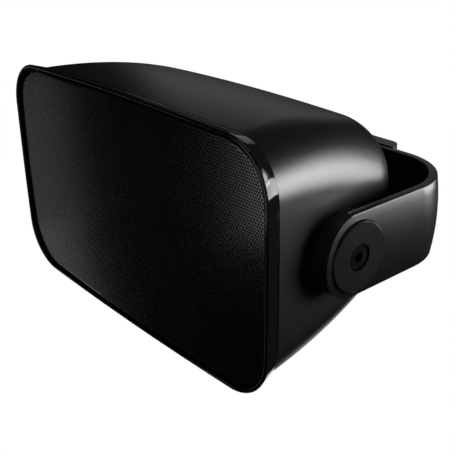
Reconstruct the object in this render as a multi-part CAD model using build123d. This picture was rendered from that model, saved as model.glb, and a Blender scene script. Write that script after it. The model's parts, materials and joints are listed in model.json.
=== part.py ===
from build123d import *
import math
import os

# Wall-mounted outdoor loudspeaker in landscape position, held by a U-shaped strap.
# Frame: origin at the centre of the wall face of the mounting plate, +Y into the wall,
# +Z up, +X along the long side of the cabinet. The grille faces -Y. Millimetres.

# Front face
front_width = 278.0
front_height = 166.0
front_corner_radius = 34.0
end_bow = 1.5
long_side_bow = 3.3
total_depth = 182.0
lip_width = 2.8
lip_round = 0.9

# Glossy band between the lip and the cabinet
band_depth = 11.0
band_inset = 3.5
seal_thickness = 0.8
seal_setback = 1.0

# Cabinet shell
cabinet_depth = 129.5
back_width = 236.0
back_height = 105.0
side_curve = 2.5
back_corner_radius = 44.0
back_edge_radius = 38.0
cabinet_wall = 4.0
cabinet_stations = 4

# Grille
grille_step_depth = 6.0
grille_gap = 1.8
grille_thickness = 1.0
grille_crown_radius = 4450.0
grille_crown_setback = 0.2
seat_gap = 0.1

# Baffle plate that carries the drivers
baffle_pocket_inset = 10.2
baffle_front_depth = 14.0
baffle_plate_thickness = 6.0
spigot_clearance = 0.3
baffle_screw_radius = 1.75
baffle_screw_length = 16.0
baffle_screw_side = 18.0
baffle_screw_edge = 27.0
baffle_boss_radius = 4.5
screw_bottom_gap = 2.0
driver_edge_margin = 6.8
driver_side_margin = 10.8

# Woofer
flange_thickness = 3.0
flange_ledge = 9.0
basket_depth = 34.0
basket_wall = 2.5
basket_neck_radius = 35.0
basket_windows = 6
basket_window_width = 22.0
basket_window_height = 15.0
surround_lap = 1.0
surround_width = 9.0
surround_thickness = 0.8
surround_roll_radius = 3.2
surround_steps = 6
surround_recess = 1.5
spider_waves = 3
spider_wave_height = 1.6
spider_ledge_height = 5.0
cone_gap = 0.3
cone_setback = 0.8
cone_thickness = 0.8
cone_depth = 20.0
cap_overhang = 4.0
cap_rise = 5.0
dome_steps = 5
coil_radius = 13.5
coil_thickness = 0.6
coil_length = 26.0
magnet_radius = 36.0
magnet_thickness = 18.0
plate_thickness = 4.0
plate_radius = 33.0
gap_outer_radius = 15.0
motor_bore_radius = 17.0
pole_radius = 12.4
screw_edge = 4.5
woofer_screw_count = 4
woofer_screw_angle = 45.0

# Tweeter
tweeter_flange_radius = 40.0
tweeter_cutout_radius = 26.0
tweeter_throat_radius = 14.0
tweeter_mouth_radius = 22.0
dome_radius = 12.7
dome_height = 5.0
dome_thickness = 0.5
tweeter_motor_radius = 24.0
tweeter_motor_length = 24.0
tweeter_screw_circle = 33.0
tweeter_screw_count = 3
tweeter_screw_angle = 90.0

# Small driver screws
driver_screw_radius = 1.6
driver_screw_head_radius = 3.4
driver_screw_head_height = 2.0
driver_screw_length = 7.0

# Terminal cup, posts and crossover
cup_width = 84.0
cup_height = 34.0
cup_depth = 25.0
cup_wall = 2.5
cup_clearance = 0.2
post_spacing = 38.0
post_radius = 2.5
post_knob_radius = 6.5
post_knob_length = 11.0
post_nut_radius = 5.0
post_nut_length = 3.0
post_collar_length = 2.0
post_collar_step = 1.0
post_knob_sides = 12
post_knob_chamfer = 0.8
board_height = 46.0
board_edge = 1.0
board_thickness = 1.6
standoff_radius = 3.0
standoff_length = 9.0
standoff_edge = 4.0
standoff_z = 12.0
inductor_radius = 14.0
inductor_core_radius = 7.0
inductor_length = 16.0
capacitor_radius = 7.0
capacitor_length = 26.0
resistor_length = 28.0
resistor_side = 9.0
component_gap = 2.0

# Pivot hardware
pivot_depth = 66.8
spacer_radius = 25.0
disc_radius = 22.0
disc_recess_depth = 3.6
disc_proud = 0.8
disc_gap = 0.6
spigot_radius = 8.95
spigot_running_gap = 0.05
pad_thickness = 1.2
pad_radius = 24.0
bolt_radius = 4.0
bolt_gap = 0.05
bolt_head_radius = 8.0
bolt_head_height = 3.0
bolt_head_gap = 0.6
bolt_head_setback = 0.8
socket_radius = 2.7
socket_lobe_radius = 0.85
socket_lobes = 6
socket_depth = 2.2
bolt_end_gap = 2.0
insert_radius = 7.0
insert_length = 16.0
insert_setback = 1.5

# Strap
strap_tuck = 2.4
strap_edge_thickness = 5.6
strap_crown = 2.2
strap_height = 53.7
strap_bend_radius = 40.5
strap_edge_radius = 0.8
strap_back_gap = 16.0
strap_screw_x = 28.0
strap_screw_radius = 2.5
strap_screw_gap = 0.25
strap_screw_head_radius = 4.75
strap_screw_head_height = 2.75
strap_screw_chamfer = 1.2
strap_screw_end_gap = 2.5
access_hole_radius = 6.0

# Wall plate
plate_width = 164.0
plate_height = 55.0
plate_depth = 10.6
plate_side_gap = 0.5
plate_round = 9.0
tapped_floor = 1.5
wall_hole_spacing_x = 110.0
wall_hole_spacing_z = 32.0
wall_hole_radius = 2.75

# Places worked out from the sizes above
front_y = -total_depth
joint_y = front_y + band_depth
cabinet_y = joint_y + seal_thickness
back_y = cabinet_y + cabinet_depth
baffle_y = front_y + baffle_front_depth
flange_y = baffle_y - flange_thickness
pivot_y = front_y + pivot_depth
pocket_half_width = front_width / 2 - baffle_pocket_inset
woofer_flange_radius = front_height / 2 - baffle_pocket_inset - driver_edge_margin
woofer_x = woofer_flange_radius + driver_side_margin - pocket_half_width
woofer_cutout_radius = woofer_flange_radius - flange_ledge
woofer_screw_circle = woofer_flange_radius - screw_edge
surround_outer_radius = woofer_cutout_radius + surround_lap
surround_inner_radius = surround_outer_radius - surround_width
tweeter_x = (woofer_x + woofer_flange_radius + pocket_half_width) / 2
surround_seat_y = flange_y + surround_recess
cone_front_y = flange_y + cone_setback
cone_neck_y = cone_front_y + cone_depth
cone_rim_radius = surround_inner_radius - cone_gap
cone_neck_radius = coil_radius + coil_thickness
basket_back_y = baffle_y + basket_depth
spider_y = basket_back_y - basket_wall - spider_ledge_height
cup_floor_y = back_y - cup_depth
board_y = cup_floor_y - standoff_length - board_thickness
inductor_x = resistor_length / 2 + component_gap + inductor_radius
board_width = 2 * (inductor_x + inductor_radius + board_edge)
standoff_x = cup_width / 2 - standoff_edge
strap_inner_x = front_width / 2 - strap_tuck
strap_inner_y = -strap_back_gap
strap_thickness = strap_edge_thickness + strap_crown
strap_outer_x = strap_inner_x + strap_thickness
spacer_face_x = strap_inner_x - pad_thickness - seat_gap
bolt_head_x = strap_outer_x + disc_proud - bolt_head_setback - bolt_head_height


def depth_plane(y):
    """Plane facing the front at depth y, with local x along X and local y along Z."""
    return Plane(origin=(0, y, 0), x_dir=(1, 0, 0), z_dir=(0, -1, 0))


def bowed_outline(half_width, half_height, radius):
    """Rounded rectangle whose four sides bow outwards."""
    x = half_width - end_bow
    z = half_height - long_side_bow
    right = ThreePointArc((x, -z), (half_width, 0), (x, z))
    top = ThreePointArc((x, z), (0, half_height), (-x, z))
    left = ThreePointArc((-x, z), (-half_width, 0), (-x, -z))
    bottom = ThreePointArc((-x, -z), (0, -half_height), (x, -z))
    face = make_face([right, top, left, bottom])
    return fillet(face.vertices(), radius)


def front_outline(y, inset):
    """Outline of the front lip, drawn inwards by inset, at depth y."""
    return depth_plane(y) * bowed_outline(
        front_width / 2 - inset, front_height / 2 - inset, front_corner_radius - inset
    )


def cabinet_half_width(depth):
    """Half width of the cabinet at a depth behind its front rim, without the back round."""
    front_half = front_width / 2 - band_inset
    return front_half - (front_half - back_width / 2) * depth / cabinet_depth


def cabinet_half_height(depth):
    """Half height of the cabinet at a depth behind its front rim, without the back round."""
    front_half = front_height / 2 - band_inset
    return front_half - (front_half - back_height / 2) * (max(0, depth) / cabinet_depth) ** side_curve


def cabinet_section(depth, inset):
    """Cross-section of the cabinet at a depth behind its front rim, drawn in by inset."""
    along = depth / cabinet_depth
    radius = front_corner_radius + (back_corner_radius - front_corner_radius) * along
    outline = bowed_outline(
        cabinet_half_width(depth) - inset, cabinet_half_height(depth) - inset, radius - inset
    )
    return depth_plane(cabinet_y + depth) * outline


def cabinet_body(inset):
    """Tapered solid with a rounded back, drawn in by inset."""
    depth = cabinet_depth - inset
    stations = [depth * i / (cabinet_stations - 1) for i in range(cabinet_stations)]
    body = loft([cabinet_section(d, inset) for d in stations])
    back = body.faces().sort_by(Axis.Y)[-1]
    return fillet(back.edges(), back_edge_radius - inset)


def round_bar(radius, start, length, axis="Y"):
    """Cylinder from a start point along +X or +Y."""
    direction = (0, 1, 0) if axis == "Y" else (1, 0, 0)
    return extrude(Plane(origin=start, z_dir=direction) * Circle(radius), length)


def turned(points, x):
    """Solid of revolution about the driver axis at x, from (radius, y) corners."""
    profile = make_face(Polyline(*[(r, y, 0) for r, y in points], close=True))
    return Pos(x, 0, 0) * revolve(profile, Axis.Y)


def ring_places(x, circle, count, first_angle):
    """Points of a circle of screws round a driver axis, as (x, z)."""
    angles = [math.radians(first_angle + 360 * i / count) for i in range(count)]
    return [(x + circle * math.cos(a), circle * math.sin(a)) for a in angles]


def outward(shape, side):
    """The part as made for the +X end, or its mirror image for the -X end."""
    return shape if side > 0 else mirror(shape, Plane.YZ)


def dome(x, rim_radius, rise, thickness, rim_y):
    """Thin spherical cap about a driver axis whose outer rim lies at rim_y."""
    ball = (rim_radius**2 + rise**2) / (2 * rise)
    centre_y = rim_y - rise + ball
    spread = math.asin(rim_radius / ball)
    turns = [spread * (1 - i / dome_steps) for i in range(dome_steps + 1)]
    outside = [(ball * math.sin(t), centre_y - ball * math.cos(t)) for t in turns]
    core = ball - thickness
    inside = [(core * math.sin(t), centre_y - core * math.cos(t)) for t in reversed(turns)]
    return turned([*outside, *inside], x)


woofer_screws_at = ring_places(woofer_x, woofer_screw_circle, woofer_screw_count, woofer_screw_angle)
tweeter_screws_at = ring_places(tweeter_x, tweeter_screw_circle, tweeter_screw_count, tweeter_screw_angle)
baffle_screw_reach = front_width / 2 - baffle_screw_side
between_drivers = (woofer_x + woofer_flange_radius + tweeter_x - tweeter_flange_radius) / 2
baffle_screw_z = front_height / 2 - baffle_screw_edge
baffle_screws_at = [
    (x, z)
    for x in (-baffle_screw_reach, between_drivers, baffle_screw_reach)
    for z in (-baffle_screw_z, baffle_screw_z)
]
wall_holes_at = [
    (x, z)
    for x in (-wall_hole_spacing_x / 2, wall_hole_spacing_x / 2)
    for z in (-wall_hole_spacing_z / 2, wall_hole_spacing_z / 2)
]
strap_screws_at = [(-strap_screw_x, 0), (strap_screw_x, 0)]
post_places = [-post_spacing / 2, post_spacing / 2]


outer_body = cabinet_body(0)
cabinet_end_x = cabinet_half_width(pivot_y - cabinet_y)
insert_x = cabinet_end_x - insert_setback - insert_length


def cabinet_shell():
    shell = outer_body - cabinet_body(cabinet_wall)
    for side in (-1, 1):
        boss_start = (insert_x - cabinet_wall, pivot_y, 0)
        boss = round_bar(insert_radius + cabinet_wall, boss_start, 2 * insert_length, "X")
        core = round_bar(insert_radius + bolt_gap, (insert_x, pivot_y, 0), 2 * insert_length, "X")
        shell = shell + (outward(boss, side) & outer_body) - outward(core, side)
    for x, z in baffle_screws_at:
        boss_start = baffle_y + baffle_plate_thickness
        post = round_bar(baffle_boss_radius, (x, boss_start, z), baffle_screw_length)
        reach = Box(2 * baffle_boss_radius, baffle_screw_length, baffle_screw_edge)
        web_z = z + math.copysign(baffle_screw_edge / 2, z)
        web = Pos(x, boss_start + baffle_screw_length / 2, web_z) * reach
        hole = round_bar(baffle_screw_radius, (x, boss_start, z), baffle_screw_length - screw_bottom_gap)
        shell = shell + (post + (web & outer_body)) - hole
    opening = Box(cup_width, 2 * cup_depth, cup_height)
    return shell - Pos(0, cup_floor_y + cup_depth, 0) * opening


def front_baffle():
    band = loft([front_outline(front_y, 0), front_outline(joint_y, band_inset)])
    spigot_inset = cabinet_wall + spigot_clearance
    spigot_ends = (-seal_thickness, baffle_y + baffle_plate_thickness - cabinet_y)
    spigot = loft([cabinet_section(d, spigot_inset) for d in spigot_ends])
    band -= extrude(front_outline(front_y, lip_width), grille_step_depth, dir=(0, 1, 0))
    lip = band.faces().sort_by(Axis.Y)[0]
    baffle = fillet(lip.edges(), lip_round) + spigot
    baffle -= extrude(front_outline(front_y, lip_width), grille_step_depth, dir=(0, 1, 0))
    baffle -= extrude(front_outline(front_y, baffle_pocket_inset), baffle_front_depth, dir=(0, 1, 0))
    drill = 2 * baffle_plate_thickness
    baffle -= round_bar(woofer_cutout_radius, (woofer_x, baffle_y, 0), drill)
    baffle -= round_bar(tweeter_cutout_radius, (tweeter_x, baffle_y, 0), drill)
    for x, z in woofer_screws_at + tweeter_screws_at:
        baffle -= round_bar(driver_screw_radius, (x, baffle_y, z), drill)
    for x, z in baffle_screws_at:
        baffle -= round_bar(baffle_screw_radius, (x, baffle_y, z), drill)
    return baffle


def baffle_seal():
    inner_inset = band_inset + cabinet_wall
    outer = extrude(front_outline(joint_y, band_inset + seal_setback), seal_thickness, dir=(0, 1, 0))
    return outer - extrude(front_outline(joint_y, inner_inset), seal_thickness, dir=(0, 1, 0))


def grille():
    inset = lip_width + grille_gap
    depth = grille_step_depth
    crown_y = front_y + grille_crown_setback
    outer_ball = Pos(0, crown_y + grille_crown_radius, 0) * Sphere(grille_crown_radius)
    inner_ball = Pos(0, crown_y + grille_crown_radius, 0) * Sphere(grille_crown_radius - grille_thickness)
    block = extrude(front_outline(front_y, inset), depth, dir=(0, 1, 0))
    hollow = extrude(front_outline(front_y, inset + grille_thickness), depth, dir=(0, 1, 0))
    return (block & outer_ball) - (hollow & inner_ball)


def woofer_basket():
    floor_y = basket_back_y - basket_wall
    rim_radius = woofer_cutout_radius - 2 * cone_gap
    body = turned(
        [
            (surround_outer_radius, flange_y),
            (woofer_flange_radius, flange_y),
            (woofer_flange_radius, baffle_y),
            (rim_radius, baffle_y),
            (basket_neck_radius + basket_wall, basket_back_y),
            (motor_bore_radius, basket_back_y),
            (motor_bore_radius, floor_y),
            (basket_neck_radius - basket_wall, floor_y),
            (basket_neck_radius - basket_wall, spider_y),
            (basket_neck_radius, spider_y),
            (rim_radius - basket_wall, baffle_y),
            (rim_radius - basket_wall, surround_seat_y),
            (surround_outer_radius, surround_seat_y),
        ],
        woofer_x,
    )
    window = Box(basket_window_width, basket_window_height, 2 * woofer_flange_radius)
    for i in range(basket_windows // 2):
        turn = Rot(0, 360 * i / basket_windows, 0)
        body -= Pos(woofer_x, baffle_y + basket_depth / 2, 0) * turn * window
    for x, z in woofer_screws_at:
        body -= round_bar(driver_screw_radius, (x, flange_y, z), flange_thickness)
    return body


def woofer_surround():
    rim_y = surround_seat_y - surround_thickness
    middle = (surround_outer_radius + surround_inner_radius) / 2
    steps = [math.pi * i / surround_steps for i in range(surround_steps + 1)]
    inner_roll = surround_roll_radius - surround_thickness
    roll = surround_roll_radius
    front = [(middle + roll * math.cos(t), rim_y - roll * math.sin(t)) for t in steps]
    rear = [(middle - inner_roll * math.cos(t), rim_y - inner_roll * math.sin(t)) for t in steps]
    rim = surround_outer_radius - cone_gap
    return turned(
        [
            (rim, rim_y),
            *front,
            (surround_inner_radius, rim_y),
            (surround_inner_radius, surround_seat_y),
            (middle - inner_roll, surround_seat_y),
            *rear,
            (middle + inner_roll, surround_seat_y),
            (rim, surround_seat_y),
        ],
        woofer_x,
    )


def woofer_cone():
    return turned(
        [
            (cone_rim_radius, cone_front_y),
            (cone_rim_radius, cone_front_y + cone_thickness),
            (cone_neck_radius, cone_neck_y + cone_thickness),
            (cone_neck_radius, cone_neck_y),
        ],
        woofer_x,
    )


def woofer_dust_cap():
    rim = cone_neck_radius + cap_overhang
    slope = cone_depth / (cone_rim_radius - cone_neck_radius)
    seat_y = cone_neck_y - cap_overhang * slope - cone_thickness - seat_gap
    return dome(woofer_x, rim, cap_rise, cone_thickness, seat_y)


def woofer_voice_coil():
    coil_back_y = cone_neck_y + coil_length
    return turned(
        [
            (coil_radius, cone_neck_y),
            (cone_neck_radius, cone_neck_y),
            (cone_neck_radius, coil_back_y),
            (coil_radius, coil_back_y),
        ],
        woofer_x,
    )


def woofer_spider():
    inner = coil_radius + coil_thickness + cone_gap
    outer = basket_neck_radius - cone_gap
    flat = outer - basket_wall
    count = 2 * spider_waves
    radii = [inner + (flat - inner) * i / count for i in range(count + 1)]
    flat_y = spider_y - surround_thickness
    crest = [(r, flat_y - spider_wave_height * (i % 2)) for i, r in enumerate(radii)]
    trough = [(r, y + surround_thickness) for r, y in reversed(crest)]
    rim = [(outer, flat_y), (outer, spider_y)]
    return turned([*crest, *rim, *trough], woofer_x)


def motor_ring(inner, outer, y, thickness):
    return turned([(inner, y), (outer, y), (outer, y + thickness), (inner, y + thickness)], woofer_x)


def woofer_top_plate():
    return motor_ring(gap_outer_radius, plate_radius, basket_back_y, plate_thickness)


def woofer_magnet():
    return motor_ring(motor_bore_radius, magnet_radius, basket_back_y + plate_thickness, magnet_thickness)


def woofer_pole_piece():
    y = basket_back_y + plate_thickness + magnet_thickness
    plate = round_bar(plate_radius, (woofer_x, y, 0), plate_thickness)
    pole = round_bar(pole_radius, (woofer_x, basket_back_y, 0), y - basket_back_y)
    return plate + pole


def tweeter_faceplate():
    y0 = flange_y
    plate = turned(
        [
            (tweeter_throat_radius, baffle_y),
            (tweeter_mouth_radius, y0),
            (tweeter_flange_radius, y0),
            (tweeter_flange_radius, baffle_y),
        ],
        tweeter_x,
    )
    for x, z in tweeter_screws_at:
        plate -= round_bar(driver_screw_radius, (x, y0, z), flange_thickness)
    return plate


def tweeter_dome():
    return dome(tweeter_x, dome_radius, dome_height, dome_thickness, baffle_y - dome_thickness)


def tweeter_motor():
    return round_bar(tweeter_motor_radius, (tweeter_x, baffle_y, 0), tweeter_motor_length)


def pan_screws(places, seat_y, shank_radius, length):
    """Screws with flat round heads, seated at seat_y and pointing to the back."""
    screws = []
    for x, z in places:
        head_y = seat_y - driver_screw_head_height
        head = round_bar(driver_screw_head_radius, (x, head_y, z), driver_screw_head_height)
        screws.append(head + round_bar(shank_radius - bolt_gap, (x, seat_y, z), length))
    return Compound(children=screws)


def driver_screws(places):
    return pan_screws(places, flange_y, driver_screw_radius, driver_screw_length)


def baffle_screws():
    return pan_screws(baffle_screws_at, baffle_y, baffle_screw_radius, baffle_screw_length)


def terminal_cup():
    width = cup_width - 2 * cup_clearance
    height = cup_height - 2 * cup_clearance
    block = Pos(0, cup_floor_y + cup_depth, 0) * Box(width, 2 * cup_depth, height)
    cup = block & outer_body
    pocket = Box(width - 2 * cup_wall, 2 * cup_depth, height - 2 * cup_wall)
    cup -= Pos(0, cup_floor_y + cup_wall + cup_depth, 0) * pocket
    for x in (-standoff_x, standoff_x):
        for z in (-standoff_z, standoff_z):
            cup += round_bar(standoff_radius, (x, cup_floor_y - standoff_length, z), standoff_length)
    for x in post_places:
        cup -= round_bar(post_radius + bolt_gap, (x, cup_floor_y, 0), cup_wall)
    return cup


def binding_post(x):
    face = cup_floor_y + cup_wall
    stem_start = cup_floor_y - post_nut_length
    stem_length = post_nut_length + cup_wall + post_collar_length
    stem = round_bar(post_radius, (x, stem_start, 0), stem_length)
    nut_plane = Plane(origin=(x, stem_start, 0), z_dir=(0, 1, 0))
    nut = extrude(nut_plane * RegularPolygon(post_nut_radius, 6), post_nut_length)
    collar = round_bar(post_knob_radius - post_collar_step, (x, face, 0), post_collar_length)
    knob_plane = Plane(origin=(x, face + post_collar_length, 0), z_dir=(0, 1, 0))
    knob = extrude(knob_plane * RegularPolygon(post_knob_radius, post_knob_sides), post_knob_length)
    knob = chamfer(knob.faces().sort_by(Axis.Y)[-1].edges(), post_knob_chamfer)
    return stem + nut + collar + knob


def crossover_board():
    return Pos(0, board_y + board_thickness / 2, 0) * Box(board_width, board_thickness, board_height)


def crossover_inductor(x):
    start = board_y - inductor_length
    bobbin = round_bar(inductor_radius, (x, start, 0), inductor_length)
    return bobbin - round_bar(inductor_core_radius, (x, start, 0), inductor_length)


def crossover_capacitors():
    cans = []
    for z in (-1, 1):
        centre_z = z * (board_height / 2 - capacitor_radius - board_edge)
        start = (-capacitor_length / 2, board_y - capacitor_radius, centre_z)
        cans.append(round_bar(capacitor_radius, start, capacitor_length, "X"))
    return Compound(children=cans)


def crossover_resistor():
    body = Box(resistor_length, resistor_side, resistor_side)
    return Pos(0, board_y - resistor_side / 2, 0) * body


def pivot_bar(radius, start_x, length):
    """Cylinder on the pivot axis at the +X end."""
    return round_bar(radius, (start_x, pivot_y, 0), length, "X")


def pivot_disc(side):
    flange_x = strap_outer_x - disc_recess_depth + seat_gap
    flange = pivot_bar(disc_radius, flange_x, strap_outer_x + disc_proud - flange_x)
    flange = chamfer(flange.faces().sort_by(Axis.X)[-1].edges(), disc_gap)
    disc = flange + pivot_bar(spigot_radius, strap_inner_x, flange_x - strap_inner_x)
    disc -= pivot_bar(bolt_head_radius + bolt_head_gap, bolt_head_x, strap_thickness)
    disc -= pivot_bar(bolt_radius + bolt_gap, strap_inner_x, strap_thickness)
    return outward(disc, side)


def pivot_bolt(side):
    head = pivot_bar(bolt_head_radius, bolt_head_x, bolt_head_height)
    head = chamfer(head.faces().sort_by(Axis.X)[-1].edges(), bolt_head_gap)
    shank_x = insert_x + bolt_end_gap
    shank = pivot_bar(bolt_radius, shank_x, bolt_head_x - shank_x)
    socket_x = bolt_head_x + bolt_head_height - socket_depth
    socket = pivot_bar(socket_radius, socket_x, socket_depth)
    for i in range(socket_lobes):
        turn = 2 * math.pi * i / socket_lobes
        lobe_at = (socket_x, pivot_y + socket_radius * math.cos(turn), socket_radius * math.sin(turn))
        socket += round_bar(socket_lobe_radius, lobe_at, socket_depth, "X")
    return outward(head + shank - socket, side)


def pivot_insert(side):
    body = pivot_bar(insert_radius, insert_x, insert_length)
    return outward(body - pivot_bar(bolt_radius + bolt_gap, insert_x, insert_length), side)


def pivot_spacer(side):
    start_x = insert_x + insert_length / 2
    body = pivot_bar(spacer_radius, start_x, spacer_face_x - start_x)
    body -= pivot_bar(bolt_radius + bolt_gap, start_x, spacer_face_x - start_x)
    return outward(body, side) - outer_body


def friction_pad(side):
    pad = pivot_bar(pad_radius, spacer_face_x, pad_thickness)
    return outward(pad - pivot_bar(spigot_radius, spacer_face_x, pad_thickness), side)


def bracket_strap():
    tip_radius = strap_height / 2
    tip_y = pivot_y - tip_radius
    path = FilletPolyline(
        (-strap_inner_x, tip_y),
        (-strap_inner_x, strap_inner_y),
        (strap_inner_x, strap_inner_y),
        (strap_inner_x, tip_y),
        radius=strap_bend_radius,
    )
    flat = Polyline(
        (strap_edge_thickness, -tip_radius),
        (0, -tip_radius),
        (0, tip_radius),
        (strap_edge_thickness, tip_radius),
    )
    crown = ThreePointArc(flat @ 0, (strap_thickness, 0), flat @ 1)
    profile = make_face([*flat.edges(), crown])
    profile = fillet(profile.vertices(), strap_edge_radius)
    start = Plane(origin=path @ 0, x_dir=(-1, 0, 0), z_dir=(0, 1, 0))
    strap = sweep(start * profile, path=path)
    corner = Pos(0, (tip_y + pivot_y) / 2, 0) * Box(4 * strap_outer_x, tip_radius, 2 * strap_height)
    corner -= round_bar(tip_radius, (-2 * strap_outer_x, pivot_y, 0), 4 * strap_outer_x, "X")
    strap -= corner
    for side in (-1, 1):
        recess = pivot_bar(disc_radius + disc_gap, strap_outer_x - disc_recess_depth, strap_thickness)
        hole = pivot_bar(spigot_radius + spigot_running_gap, spacer_face_x, 2 * strap_thickness)
        strap = strap - outward(recess, side) - outward(hole, side)
    seat = Box(plate_width + 2 * plate_side_gap, plate_depth, 2 * strap_height)
    strap -= Pos(0, -plate_depth / 2, 0) * seat
    for x, z in wall_holes_at:
        strap -= round_bar(access_hole_radius, (x, strap_inner_y, z), strap_thickness)
    for x, z in strap_screws_at:
        hole_radius = strap_screw_radius + strap_screw_gap
        strap -= round_bar(hole_radius, (x, strap_inner_y, z), strap_thickness)
    return strap


def wall_plate():
    half = plate_width / 2
    plan = Polyline((-half, -plate_depth), (half, -plate_depth), (half, 0), (-half, 0), close=True)
    face = make_face(plan)
    rear = face.vertices().sort_by(Axis.Y)[-2:]
    plate = extrude(fillet(rear, plate_round), plate_height / 2, both=True)
    for x, z in wall_holes_at:
        plate -= round_bar(wall_hole_radius, (x, -plate_depth, z), plate_depth)
    for x, z in strap_screws_at:
        plate -= round_bar(strap_screw_radius, (x, -plate_depth, z), plate_depth - tapped_floor)
    return plate


def strap_screws():
    screws = []
    for x, z in strap_screws_at:
        head_start = strap_inner_y - strap_screw_head_height
        head = round_bar(strap_screw_head_radius, (x, head_start, z), strap_screw_head_height)
        head = chamfer(head.faces().sort_by(Axis.Y)[0].edges(), strap_screw_chamfer)
        shank_length = strap_back_gap - strap_screw_end_gap
        shank = round_bar(strap_screw_radius - bolt_gap, (x, strap_inner_y, z), shank_length)
        screws.append(head + shank)
    return Compound(children=screws)


def nodes():
    """Every sub-part by its node name."""
    made = {
        "cabinet_shell": cabinet_shell(),
        "front_baffle": front_baffle(),
        "baffle_seal": baffle_seal(),
        "grille": grille(),
        "woofer_basket": woofer_basket(),
        "woofer_surround": woofer_surround(),
        "woofer_cone": woofer_cone(),
        "woofer_dust_cap": woofer_dust_cap(),
        "woofer_voice_coil": woofer_voice_coil(),
        "woofer_spider": woofer_spider(),
        "woofer_top_plate": woofer_top_plate(),
        "woofer_magnet": woofer_magnet(),
        "woofer_pole_piece": woofer_pole_piece(),
        "woofer_screws": driver_screws(woofer_screws_at),
        "tweeter_faceplate": tweeter_faceplate(),
        "tweeter_dome": tweeter_dome(),
        "tweeter_motor": tweeter_motor(),
        "tweeter_screws": driver_screws(tweeter_screws_at),
        "baffle_screws": baffle_screws(),
        "terminal_cup": terminal_cup(),
        "binding_post_red": binding_post(post_places[0]),
        "binding_post_black": binding_post(post_places[1]),
        "crossover_board": crossover_board(),
        "crossover_inductor_left": crossover_inductor(-inductor_x),
        "crossover_inductor_right": crossover_inductor(inductor_x),
        "crossover_capacitors": crossover_capacitors(),
        "crossover_resistor": crossover_resistor(),
        "bracket_strap": bracket_strap(),
        "wall_plate": wall_plate(),
        "strap_screws": strap_screws(),
    }
    for side, word in ((-1, "left"), (1, "right")):
        made[f"pivot_disc_{word}"] = pivot_disc(side)
        made[f"pivot_bolt_{word}"] = pivot_bolt(side)
        made[f"pivot_insert_{word}"] = pivot_insert(side)
        made[f"pivot_spacer_{word}"] = pivot_spacer(side)
        made[f"friction_pad_{word}"] = friction_pad(side)
    return made


os.makedirs("parts", exist_ok=True)
for name, shape in nodes().items():
    export_step(shape, f"parts/{name}.step")
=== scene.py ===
import bmesh
import bpy
import json
import math
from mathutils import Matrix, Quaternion, Vector

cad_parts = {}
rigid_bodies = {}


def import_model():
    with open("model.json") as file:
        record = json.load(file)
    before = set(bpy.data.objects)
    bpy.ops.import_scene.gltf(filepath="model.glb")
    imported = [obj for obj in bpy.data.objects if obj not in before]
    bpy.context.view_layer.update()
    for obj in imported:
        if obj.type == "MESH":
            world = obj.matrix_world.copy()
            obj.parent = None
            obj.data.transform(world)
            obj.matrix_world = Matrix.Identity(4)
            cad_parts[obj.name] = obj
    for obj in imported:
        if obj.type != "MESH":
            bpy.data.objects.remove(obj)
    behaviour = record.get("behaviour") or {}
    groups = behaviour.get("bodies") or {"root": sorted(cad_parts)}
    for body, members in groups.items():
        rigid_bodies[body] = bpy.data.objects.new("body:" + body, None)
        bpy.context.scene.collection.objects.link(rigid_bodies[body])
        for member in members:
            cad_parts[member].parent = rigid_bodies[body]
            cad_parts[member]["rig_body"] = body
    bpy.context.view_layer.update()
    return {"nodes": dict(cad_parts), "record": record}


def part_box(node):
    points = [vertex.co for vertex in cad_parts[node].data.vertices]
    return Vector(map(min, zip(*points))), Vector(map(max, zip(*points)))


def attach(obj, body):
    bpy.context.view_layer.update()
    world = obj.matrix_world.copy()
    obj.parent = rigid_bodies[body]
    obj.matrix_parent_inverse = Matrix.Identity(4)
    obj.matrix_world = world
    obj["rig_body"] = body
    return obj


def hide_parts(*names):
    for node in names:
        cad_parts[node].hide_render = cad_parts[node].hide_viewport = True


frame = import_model()
nodes = frame["nodes"]
slotOfNode = {part["node"]: part["material_slot"] for part in frame["record"]["subparts"]}
scene = bpy.context.scene
scene.view_settings.view_transform = "Standard"
print("frame loaded:", len(nodes), "nodes")


# Small helpers

def deselectAll():
    if bpy.context.mode != "OBJECT":
        bpy.ops.object.mode_set(mode="OBJECT")
    bpy.ops.object.select_all(action="DESELECT")


def activate(piece):
    deselectAll()
    piece.select_set(True)
    bpy.context.view_layer.objects.active = piece


def selectFaces(piece, test):
    # in edit mode: selects the faces whose middle passes the test
    mesh = bmesh.from_edit_mesh(piece.data)
    bpy.ops.mesh.select_all(action="DESELECT")
    for face in mesh.faces:
        face.select_set(test(face.calc_center_median()))
    bmesh.update_edit_mesh(piece.data)


def setMaterial(piece, material):
    piece.data.materials.clear()
    piece.data.materials.append(material)


def aimAt(holder, place, aim, roll=0.0):
    # puts a lamp or the camera at its place, facing a point, rolled about its own axis in degrees
    toAim = Vector(aim) - Vector(place)
    turn = toAim.to_track_quat("-Z", "Y") @ Quaternion((0, 0, 1), math.radians(roll))
    holder.location = place
    holder.rotation_euler = turn.to_euler()


# Materials
surfaceValues = {
    "rampStart": 0.3,  # noise below this is all dark
    "rampEnd": 0.7,    # noise above this is all light
    "cloudDetail": 4,
    "grainDetail": 2,
}


def startMaterial(name):
    material = bpy.data.materials.new(name)
    material.use_nodes = True
    tree = material.node_tree
    return material, tree, tree.nodes["Principled BSDF"]


def addNode(tree, kind, **sockets):
    node = tree.nodes.new(kind)
    for socket, value in sockets.items():
        node.inputs[socket].default_value = value
    return node


def addNoise(tree, scale, detail):
    place = tree.nodes.new("ShaderNodeTexCoord")
    noise = addNode(tree, "ShaderNodeTexNoise", Scale=scale, Detail=detail)
    tree.links.new(place.outputs["Object"], noise.inputs["Vector"])
    return noise.outputs["Fac"]


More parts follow.
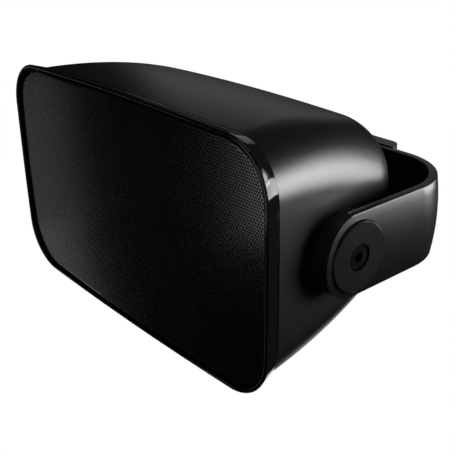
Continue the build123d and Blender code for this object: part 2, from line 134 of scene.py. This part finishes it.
def addRange(tree, source, low, high):
    spread = tree.nodes.new("ShaderNodeMapRange")
    spread.inputs["To Min"].default_value = low
    spread.inputs["To Max"].default_value = high
    tree.links.new(source, spread.inputs["Value"])
    return spread.outputs["Result"]


def addRamp(tree, source, dark, light):
    ramp = tree.nodes.new("ShaderNodeValToRGB")
    start, end = ramp.color_ramp.elements
    start.position = surfaceValues["rampStart"]
    end.position = surfaceValues["rampEnd"]
    start.color = (*dark, 1)
    end.color = (*light, 1)
    tree.links.new(source, ramp.inputs["Fac"])
    return ramp.outputs["Color"]


def addBump(tree, shader, source, strength, distance):
    bump = addNode(tree, "ShaderNodeBump", Strength=strength, Distance=distance)
    tree.links.new(source, bump.inputs["Height"])
    tree.links.new(bump.outputs["Normal"], shader.inputs["Normal"])


def coatMaterial(name, finish):
    # moulded, painted or bare surface: cloudy colour, cloudy gloss, fine grain
    material, tree, shader = startMaterial(name)
    cloud = addNoise(tree, finish["cloudScale"], surfaceValues["cloudDetail"])
    grain = addNoise(tree, finish["grainScale"], surfaceValues["grainDetail"])
    colour = addRamp(tree, cloud, finish["dark"], finish["light"])
    tree.links.new(colour, shader.inputs["Base Color"])
    gloss = addRange(tree, cloud, *finish["roughness"])
    tree.links.new(gloss, shader.inputs["Roughness"])
    addBump(tree, shader, grain, finish["grainStrength"], finish["grainDepth"])
    shader.inputs["Metallic"].default_value = finish.get("metallic", 0.0)
    shader.inputs["Specular IOR Level"].default_value = finish.get("specular", 0.5)
    return material


# Coats: colours, scales of clouds and grain, roughness from dark to light, strength and depth of the grain
blackGrey = {"dark": (0.005, 0.005, 0.0055), "light": (0.008, 0.008, 0.0085)}
finishes = {
    "cabinetSatin": {
        **blackGrey, "cloudScale": 14, "grainScale": 1500,
        "roughness": (0.32, 0.37), "grainStrength": 0.06, "grainDepth": 0.0003},
    "bezelGloss": {
        "dark": (0.006, 0.006, 0.007), "light": (0.008, 0.008, 0.009), "cloudScale": 9, "grainScale": 300,
        "roughness": (0.05, 0.09), "grainStrength": 0.01, "grainDepth": 0.0002, "specular": 0.25},
    "grilleCoat": {
        **blackGrey, "cloudScale": 20, "grainScale": 3000,
        "roughness": (0.14, 0.18), "grainStrength": 0.08, "grainDepth": 0.0001},
    "strapCoat": {
        **blackGrey, "cloudScale": 18, "grainScale": 2200,
        "roughness": (0.28, 0.33), "grainStrength": 0.07, "grainDepth": 0.0002},
    "discCoat": {
        **blackGrey, "cloudScale": 30, "grainScale": 2600,
        "roughness": (0.29, 0.33), "grainStrength": 0.06, "grainDepth": 0.0002},
    "boltBlack": {
        "dark": (0.006, 0.006, 0.006), "light": (0.012, 0.012, 0.012), "cloudScale": 60, "grainScale": 2500,
        "roughness": (0.3, 0.45), "grainStrength": 0.1, "grainDepth": 0.0001, "metallic": 1.0},
    "spacerMatte": {
        "dark": (0.004, 0.004, 0.004), "light": (0.007, 0.007, 0.007), "cloudScale": 30, "grainScale": 1600,
        "roughness": (0.75, 0.85), "grainStrength": 0.15, "grainDepth": 0.0002, "specular": 0.2},
    "sealRubber": {
        "dark": (0.006, 0.006, 0.006), "light": (0.012, 0.012, 0.012), "cloudScale": 40, "grainScale": 1800,
        "roughness": (0.7, 0.85), "grainStrength": 0.2, "grainDepth": 0.0002},
    "conePulp": {
        "dark": (0.02, 0.02, 0.022), "light": (0.035, 0.035, 0.037), "cloudScale": 90, "grainScale": 1200,
        "roughness": (0.5, 0.65), "grainStrength": 0.3, "grainDepth": 0.0002},
    "platedSteel": {
        "dark": (0.42, 0.42, 0.41), "light": (0.56, 0.56, 0.55), "cloudScale": 50, "grainScale": 1500,
        "roughness": (0.28, 0.42), "grainStrength": 0.1, "grainDepth": 0.0001, "metallic": 1.0},
    "ferrite": {
        "dark": (0.03, 0.03, 0.033), "light": (0.06, 0.06, 0.063), "cloudScale": 70, "grainScale": 1500,
        "roughness": (0.5, 0.65), "grainStrength": 0.3, "grainDepth": 0.0002},
    "brassTurned": {
        "dark": (0.58, 0.40, 0.14), "light": (0.74, 0.55, 0.24), "cloudScale": 60, "grainScale": 1800,
        "roughness": (0.22, 0.34), "grainStrength": 0.08, "grainDepth": 0.0001, "metallic": 1.0},
    "copperWinding": {
        "dark": (0.30, 0.10, 0.04), "light": (0.52, 0.20, 0.08), "cloudScale": 120, "grainScale": 1400,
        "roughness": (0.25, 0.4), "grainStrength": 0.4, "grainDepth": 0.0003, "metallic": 1.0},
    "boardLaminate": {
        "dark": (0.01, 0.06, 0.02), "light": (0.02, 0.10, 0.035), "cloudScale": 80, "grainScale": 900,
        "roughness": (0.35, 0.5), "grainStrength": 0.1, "grainDepth": 0.0001},
    "filmWrap": {
        "dark": (0.30, 0.05, 0.02), "light": (0.42, 0.08, 0.03), "cloudScale": 50, "grainScale": 800,
        "roughness": (0.3, 0.4), "grainStrength": 0.05, "grainDepth": 0.0001},
    "cementWhite": {
        "dark": (0.55, 0.54, 0.50), "light": (0.68, 0.67, 0.63), "cloudScale": 90, "grainScale": 900,
        "roughness": (0.7, 0.85), "grainStrength": 0.3, "grainDepth": 0.0002},
}

# Cloths: colours and thread scale, where a higher one is a finer weave, then what all three share
cloths = {
    "scrimCloth": {"dark": (0.003, 0.003, 0.003), "light": (0.010, 0.010, 0.010), "threadScale": 900},
    "spiderCloth": {"dark": (0.25, 0.15, 0.05), "light": (0.42, 0.28, 0.12), "threadScale": 500},
    "domeCloth": {"dark": (0.010, 0.010, 0.010), "light": (0.025, 0.025, 0.026), "threadScale": 900},
}
clothValues = {
    "threadWander": 0.3,
    "roughness": 0.9,
    "sheen": 0.2,
    "weaveStrength": 0.4,
    "weaveDepth": 0.0002,
}


def clothMaterial(name, finish):
    # woven cloth: two crossed wave bands
    v = clothValues
    material, tree, shader = startMaterial(name)
    place = tree.nodes.new("ShaderNodeTexCoord")
    weave = tree.nodes.new("ShaderNodeMath")
    weave.operation = "MULTIPLY"
    for direction, socket in zip(("X", "Z"), weave.inputs):
        wave = addNode(tree, "ShaderNodeTexWave", Scale=finish["threadScale"], Distortion=v["threadWander"])
        wave.bands_direction = direction
        tree.links.new(place.outputs["Object"], wave.inputs["Vector"])
        tree.links.new(wave.outputs["Fac"], socket)
    colour = addRamp(tree, weave.outputs["Value"], finish["dark"], finish["light"])
    tree.links.new(colour, shader.inputs["Base Color"])
    shader.inputs["Roughness"].default_value = v["roughness"]
    shader.inputs["Sheen Weight"].default_value = v["sheen"]
    addBump(tree, shader, weave.outputs["Value"], v["weaveStrength"], v["weaveDepth"])
    return material


look = {name: coatMaterial(name, finish) for name, finish in finishes.items()}
look.update({name: clothMaterial(name, finish) for name, finish in cloths.items()})
print("materials made:", len(look))


# CAD nodes: each gets its finish by its material slot
finishOfSlot = {
    "cabinet_plastic": "cabinetSatin", "bezel_gloss": "bezelGloss", "seal_rubber": "sealRubber",
    "grille_metal": "grilleCoat", "basket_metal": "strapCoat", "cone_plastic": "conePulp",
    "coil_former": "platedSteel", "spider_cloth": "spiderCloth", "motor_steel": "platedSteel",
    "magnet_ferrite": "ferrite", "screw_steel": "boltBlack", "tweeter_plastic": "cabinetSatin",
    "dome_cloth": "domeCloth", "cup_plastic": "cabinetSatin", "post_brass": "brassTurned",
    "board_laminate": "boardLaminate", "winding_copper": "copperWinding", "capacitor_film": "filmWrap",
    "resistor_ceramic": "cementWhite", "bracket_metal": "strapCoat", "disc_metal": "discCoat",
    "bolt_steel": "boltBlack", "insert_brass": "brassTurned", "spacer_plastic": "spacerMatte",
}
for nodeName, slot in slotOfNode.items():
    setMaterial(nodes[nodeName], look[finishOfSlot[slot]])

# Visible nodes: smooth-shaded copies stand for them
shown = {
    "cabinet_shell": ("cabinetSkin", "cabinetSatin"),
    "front_baffle": ("bezelSkin", "bezelGloss"),
    "bracket_strap": ("strapSkin", "strapCoat"),
    "wall_plate": ("wallPlateSkin", "strapCoat"),
    "pivot_disc_left": ("discSkinLeft", "discCoat"),
    "pivot_disc_right": ("discSkinRight", "discCoat"),
    "pivot_bolt_left": ("boltSkinLeft", "boltBlack"),
    "pivot_bolt_right": ("boltSkinRight", "boltBlack"),
    "pivot_spacer_left": ("spacerSkinLeft", "spacerMatte"),
    "pivot_spacer_right": ("spacerSkinRight", "spacerMatte"),
}
skinValues = {
    "mergeDistance": 2e-6,  # between corners of the loose triangles
    "smoothAngle": 32,      # degrees, edges sharper than this stay sharp
}


def smoothCopy(nodeName, pieceName, material):
    source = nodes[nodeName]
    piece = bpy.data.objects.new(pieceName, source.data.copy())
    scene.collection.objects.link(piece)
    activate(piece)
    bpy.ops.object.mode_set(mode="EDIT")
    bpy.ops.mesh.select_all(action="SELECT")
    bpy.ops.mesh.remove_doubles(threshold=skinValues["mergeDistance"])
    bpy.ops.object.mode_set(mode="OBJECT")
    if piece.data.has_custom_normals:
        bpy.ops.mesh.customdata_custom_splitnormals_clear()
    bpy.ops.object.shade_smooth_by_angle(angle=math.radians(skinValues["smoothAngle"]))
    setMaterial(piece, material)
    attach(piece, source["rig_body"])
    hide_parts(nodeName)


for nodeName, (pieceName, finishName) in shown.items():
    smoothCopy(nodeName, pieceName, look[finishName])
print("CAD nodes dressed:", len(shown), "smooth copies")


# Perforated grille: a sheet of six-sided cells, trimmed to the bowed outline, each opened, then crowned
grilleValues = {
    "pitch": 0.00208,       # between hole centres
    "holeWidth": 0.00125,   # across the flats
    "holeDepth": 0.0008,
    "plainMargin": 0.0004,  # unpierced edge
    "cornerRadius": 0.0294,
    "endBow": 0.0015,       # how far each short end bows out
    "sideBow": 0.0033,      # how far each long side does
    "crownRadius": 4.45,
    "foldRadius": 0.0004,   # of the border, where it turns back
    "foldMiddle": 0.3,      # share of that radius at the middle of the turn
    "spareCells": 4,        # cells past the outline, which are trimmed off
    "mergeShare": 0.02,     # of the pitch, corners of cells nearer than this are joined
    "trimReach": 0.3,       # of the pitch, a cell further out than this is dropped
    "outlineSteps": 4,      # taken by a border corner towards the outline
    "slopeStep": 1e-6,      # over which the slope is measured
    "smoothAngle": 35,      # degrees
}

# Scrim: thin cloth stretched behind the grille
scrimValues = {
    "gap": 0.0012,          # behind the front of the grille
    "thickness": 0.0003,
    "cellSize": 4,          # in grille pitches
}
grilleLow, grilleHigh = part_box("grille")
grilleMiddle = (grilleLow + grilleHigh) / 2
grilleHalf = (grilleHigh - grilleLow) / 2


def outsideBy(x, z, inset=0.0):
    # how far a point lies outside the bowed outline (negative inside)
    v = grilleValues
    alongX = (x - grilleMiddle.x) / grilleHalf.x
    alongZ = (z - grilleMiddle.z) / grilleHalf.z
    halfX = grilleHalf.x - v["endBow"] * min(1, alongZ * alongZ) - inset
    halfZ = grilleHalf.z - v["sideBow"] * min(1, alongX * alongX) - inset
    radius = v["cornerRadius"] - inset
    pastX = abs(x - grilleMiddle.x) - halfX + radius
    pastZ = abs(z - grilleMiddle.z) - halfZ + radius
    return math.hypot(max(pastX, 0), max(pastZ, 0)) + min(max(pastX, pastZ), 0) - radius


def onOutline(point, inset):
    # the nearest point of the outline, found by a few steps down the slope
    x, z = point.x, point.z
    step = grilleValues["slopeStep"]
    for _ in range(grilleValues["outlineSteps"]):
        away = outsideBy(x, z, inset)
        slopeX = (outsideBy(x + step, z, inset) - away) / step
        slopeZ = (outsideBy(x, z + step, inset) - away) / step
        x -= away * slopeX
        z -= away * slopeZ
    return x, z


def crownAt(x, z):
    # how far the crowned sheet lies behind its middle
    return (x * x + z * z) / (2 * grilleValues["crownRadius"])


def cellSheet(name, pitch):
    # a flat field of six-sided cells that covers the grille, facing the front, left in edit mode
    v = grilleValues
    deselectAll()
    bpy.ops.mesh.primitive_circle_add(
        vertices=6, radius=pitch / math.sqrt(3), fill_type="NGON", rotation=(math.pi / 2, 0, 0))
    piece = bpy.context.object
    piece.name = name
    bpy.ops.object.transform_apply(location=True, rotation=True, scale=True)
    rowGap = pitch * math.sqrt(3)  # from a row to the next but one
    across = int(2 * grilleHalf.x / pitch) + v["spareCells"]
    up = int(2 * grilleHalf.z / rowGap) + v["spareCells"]
    steps = ((2, (pitch / 2, 0, rowGap / 2)), (across, (pitch, 0, 0)), (up, (0, 0, rowGap)))
    for count, offset in steps:
        array = piece.modifiers.new("repeat", "ARRAY")
        array.count = count
        array.use_relative_offset = False
        array.use_constant_offset = True
        array.constant_offset_displace = offset
        bpy.ops.object.modifier_apply(modifier=array.name)
    startX = grilleMiddle.x - pitch * (across - 1) / 2
    startZ = grilleMiddle.z - rowGap * (up - 0.5) / 2
    bpy.ops.object.mode_set(mode="EDIT")
    bpy.ops.mesh.select_all(action="SELECT")
    bpy.ops.transform.translate(value=(startX, grilleLow.y, startZ))
    bpy.ops.mesh.remove_doubles(threshold=pitch * v["mergeShare"])
    return piece


def trimToOutline(piece, inset, reach):
    # in edit mode: drops the cells outside and draws the border onto the outline
    selectFaces(piece, lambda middle: outsideBy(middle.x, middle.z, inset) > reach)
    bpy.ops.mesh.delete(type="FACE")
    mesh = bmesh.from_edit_mesh(piece.data)
    for vert in mesh.verts:
        if vert.is_boundary:
            vert.co.x, vert.co.z = onOutline(vert.co, inset)
    bmesh.update_edit_mesh(piece.data)


def pierceCells(piece):
    # in edit mode: a hole with a short wall in each cell that lies inside the plain margin
    v = grilleValues
    edge = -(v["plainMargin"] + v["pitch"] / 2)
    selectFaces(piece, lambda middle: outsideBy(middle.x, middle.z) < edge)
    bpy.ops.mesh.inset(thickness=(v["pitch"] - v["holeWidth"]) / 2, depth=0, use_individual=True)
    bpy.ops.mesh.extrude_faces_move(TRANSFORM_OT_shrink_fatten={"value": -v["holeDepth"]})
    bpy.ops.mesh.delete(type="FACE")


def crownSheet(piece, setback=0.0):
    # in edit mode: bows the flat sheet
    mesh = bmesh.from_edit_mesh(piece.data)
    for vert in mesh.verts:
        vert.co.y += crownAt(vert.co.x, vert.co.z) + setback
    bmesh.update_edit_mesh(piece.data)


def extrudeBorder(piece, placeCorner):
    # in edit mode: a new row of faces on the outer border, not on the rims of the holes
    nearBorder = -2 * grilleValues["foldRadius"]
    mesh = bmesh.from_edit_mesh(piece.data)
    bpy.ops.mesh.select_all(action="DESELECT")
    for rim in mesh.edges:
        middle = (rim.verts[0].co + rim.verts[1].co) / 2
        rim.select_set(rim.is_boundary and outsideBy(middle.x, middle.z) > nearBorder)
    bpy.ops.mesh.extrude_edges_move()
    mesh = bmesh.from_edit_mesh(piece.data)
    for vert in mesh.verts:
        if vert.select:
            vert.co = placeCorner(vert.co)
    bmesh.update_edit_mesh(piece.data)


def foldBorder(piece):
    # in edit mode: the border turns back in a small round and runs to the step it sits on
    fold = grilleValues["foldRadius"]
    halfway = fold * grilleValues["foldMiddle"]

    def turned(corner, inset, back):
        x, z = onOutline(corner, inset)
        return Vector((x, grilleLow.y + crownAt(x, z) + back, z))

    extrudeBorder(piece, lambda corner: turned(corner, halfway, halfway))
    extrudeBorder(piece, lambda corner: turned(corner, 0, fold))
    extrudeBorder(piece, lambda corner: Vector((corner.x, grilleHigh.y, corner.z)))


def makeGrille():
    v = grilleValues
    piece = cellSheet("grilleSheet", v["pitch"])
    trimToOutline(piece, v["foldRadius"], v["pitch"] * v["trimReach"])
    pierceCells(piece)
    crownSheet(piece)
    foldBorder(piece)
    # two halves, to keep each piece light
    selectFaces(piece, lambda middle: middle.x > grilleMiddle.x)
    bpy.ops.mesh.separate(type="SELECTED")
    bpy.ops.object.mode_set(mode="OBJECT")
    halves = sorted(bpy.context.selected_objects, key=lambda half: half.bound_box[0][0])
    for half, name in zip(halves, ("grilleSheetLeft", "grilleSheetRight")):
        half.name = name
        activate(half)
        bpy.ops.object.shade_smooth_by_angle(angle=math.radians(v["smoothAngle"]))
        setMaterial(half, look["grilleCoat"])
        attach(half, "cabinet")
        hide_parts("grille")
    return halves


def makeScrim():
    v = grilleValues
    piece = cellSheet("grilleScrim", v["pitch"] * scrimValues["cellSize"])
    inset = v["plainMargin"] / 2
    trimToOutline(piece, inset, v["pitch"])
    crownSheet(piece, scrimValues["gap"])
    bpy.ops.mesh.select_all(action="SELECT")
    bpy.ops.mesh.extrude_region_move(TRANSFORM_OT_translate={"value": (0, scrimValues["thickness"], 0)})
    bpy.ops.object.mode_set(mode="OBJECT")
    bpy.ops.object.shade_smooth_by_angle(angle=math.radians(v["smoothAngle"]))
    setMaterial(piece, look["scrimCloth"])
    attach(piece, "cabinet")


grilleHalves = makeGrille()
makeScrim()
print("grille made:", [len(half.data.polygons) for half in grilleHalves], "faces")


# Stage: white floor and backdrop for the camera, dark tent for the reflections
stageValues = {
    "floorDrop": 2.6,
    "floorSize": 40.0,
    "floorGrey": 0.8,
    "tentRadius": 2.4,
    "tentSegments": 48,
    "tentRings": 24,
    "tentGrey": 0.03,
    "worldGrey": 0.6,
}


def grey(level):
    return (level, level, level, 1)


def backgroundMix(tree, surface, output):
    # camera, glossy and transmission rays see plain white
    path = tree.nodes.new("ShaderNodeLightPath")
    seen = path.outputs["Is Camera Ray"]
    for ray in ("Is Glossy Ray", "Is Transmission Ray"):
        join = tree.nodes.new("ShaderNodeMath")
        join.operation = "MAXIMUM"
        tree.links.new(seen, join.inputs[0])
        tree.links.new(path.outputs[ray], join.inputs[1])
        seen = join.outputs["Value"]
    white = addNode(tree, "ShaderNodeEmission", Color=(1, 1, 1, 1), Strength=1.0)
    mix = tree.nodes.new("ShaderNodeMixShader")
    tree.links.new(seen, mix.inputs["Fac"])
    tree.links.new(surface, mix.inputs[1])
    tree.links.new(white.outputs["Emission"], mix.inputs[2])
    tree.links.new(mix.outputs["Shader"], output)


def makeFloor():
    v = stageValues
    deselectAll()
    bpy.ops.mesh.primitive_plane_add(size=v["floorSize"], location=(0, 0, -v["floorDrop"]))
    floor = bpy.context.object
    floor.name = "floor"
    material, tree, shader = startMaterial("floorPale")
    shader.inputs["Base Color"].default_value = grey(v["floorGrey"])
    backgroundMix(tree, shader.outputs["BSDF"], tree.nodes["Material Output"].inputs["Surface"])
    setMaterial(floor, material)
    return floor


def makeTent():
    v = stageValues
    deselectAll()
    bpy.ops.mesh.primitive_uv_sphere_add(
        segments=v["tentSegments"], ring_count=v["tentRings"], radius=v["tentRadius"])
    tent = bpy.context.object
    tent.name = "darkTent"
    tent.visible_camera = False
    material, _, shader = startMaterial("tentBlack")
    shader.inputs["Base Color"].default_value = grey(v["tentGrey"])
    shader.inputs["Roughness"].default_value = 1.0
    setMaterial(tent, material)
    return tent


def makeWorld():
    world = bpy.data.worlds.new("studio")
    world.use_nodes = True
    scene.world = world
    tree = world.node_tree
    back = tree.nodes["Background"]
    back.inputs["Color"].default_value = grey(stageValues["worldGrey"])
    backgroundMix(tree, back.outputs["Background"], tree.nodes["World Output"].inputs["Surface"])


# Soft boxes: place, point lit, width, height, watts
softBoxes = {
    "boxCorner": ((0.70, 1.20, -0.05), (0.13, -0.08, 0.03), 0.5, 0.5, 6.5),
    "boxCornerHigh": ((0.85, 1.20, 0.30), (0.14, -0.08, 0.0), 0.6, 0.4, 6.2),
    "boxCornerTop": ((0.60, 1.25, 0.42), (0.13, -0.08, 0.04), 0.3, 0.3, 0.8),
    "boxSide": ((1.05, 0.92, 0.15), (0.14, -0.10, 0.03), 0.5, 0.6, 11.0),
    "boxTopLeft": ((-0.98, 1.06, 0.40), (0.0, -0.10, 0.05), 0.88, 0.4, 0.42),
    "boxAbove": ((0.0, -0.10, 1.70), (0.0, -0.10, 0.0), 0.9, 0.9, 5.0),
    "boxLeft": ((-1.74, -0.80, -0.55), (-0.1, -0.18, 0.0), 0.45, 0.5, 0.26),
    "boxLowLeft": ((-1.62, -0.72, -1.00), (-0.1, -0.18, 0.0), 0.45, 0.45, 0.36),
    "boxFront": ((-1.13, -1.71, -0.55), (0.1, -0.18, 0.03), 0.38, 0.6, 1.15),
    "boxLowBehind": ((-0.46, 0.80, -0.92), (0.12, -0.10, -0.06), 0.5, 0.4, 0.8),
    "boxBead": ((0.90, -1.25, 0.20), (0.12, -0.18, 0.0), 0.3, 1.6, 2.5),
    "boxFacing": ((0.0, -2.00, 0.25), (0.0, -0.18, 0.0), 1.0, 0.6, 2.0),
}


def makeLights():
    for name, (place, aim, width, height, watts) in softBoxes.items():
        lamp = bpy.data.lights.new(name, "AREA")
        lamp.shape = "RECTANGLE"
        lamp.size = width
        lamp.size_y = height
        lamp.energy = watts
        holder = bpy.data.objects.new(name, lamp)
        scene.collection.objects.link(holder)
        aimAt(holder, place, aim)


# Camera, set to the outline in the photograph
cameraValues = {
    "place": (0.4167, -0.44286, 0.20999),
    "aim": (-0.00146, -0.09118, -0.03793),
    "roll": -0.83,  # degrees
    "lens": 63.87,
    "sensor": 36.0,
    "clipNear": 0.01,
    "clipFar": 100,
}


def makeCamera():
    v = cameraValues
    data = bpy.data.cameras.new("camera")
    data.lens = v["lens"]
    data.sensor_width = v["sensor"]
    data.clip_start = v["clipNear"]
    data.clip_end = v["clipFar"]
    holder = bpy.data.objects.new("camera", data)
    scene.collection.objects.link(holder)
    aimAt(holder, v["place"], v["aim"], v["roll"])
    scene.camera = holder


floor = makeFloor()
tent = makeTent()
makeWorld()
makeLights()
makeCamera()
print("stage, lights and camera set")
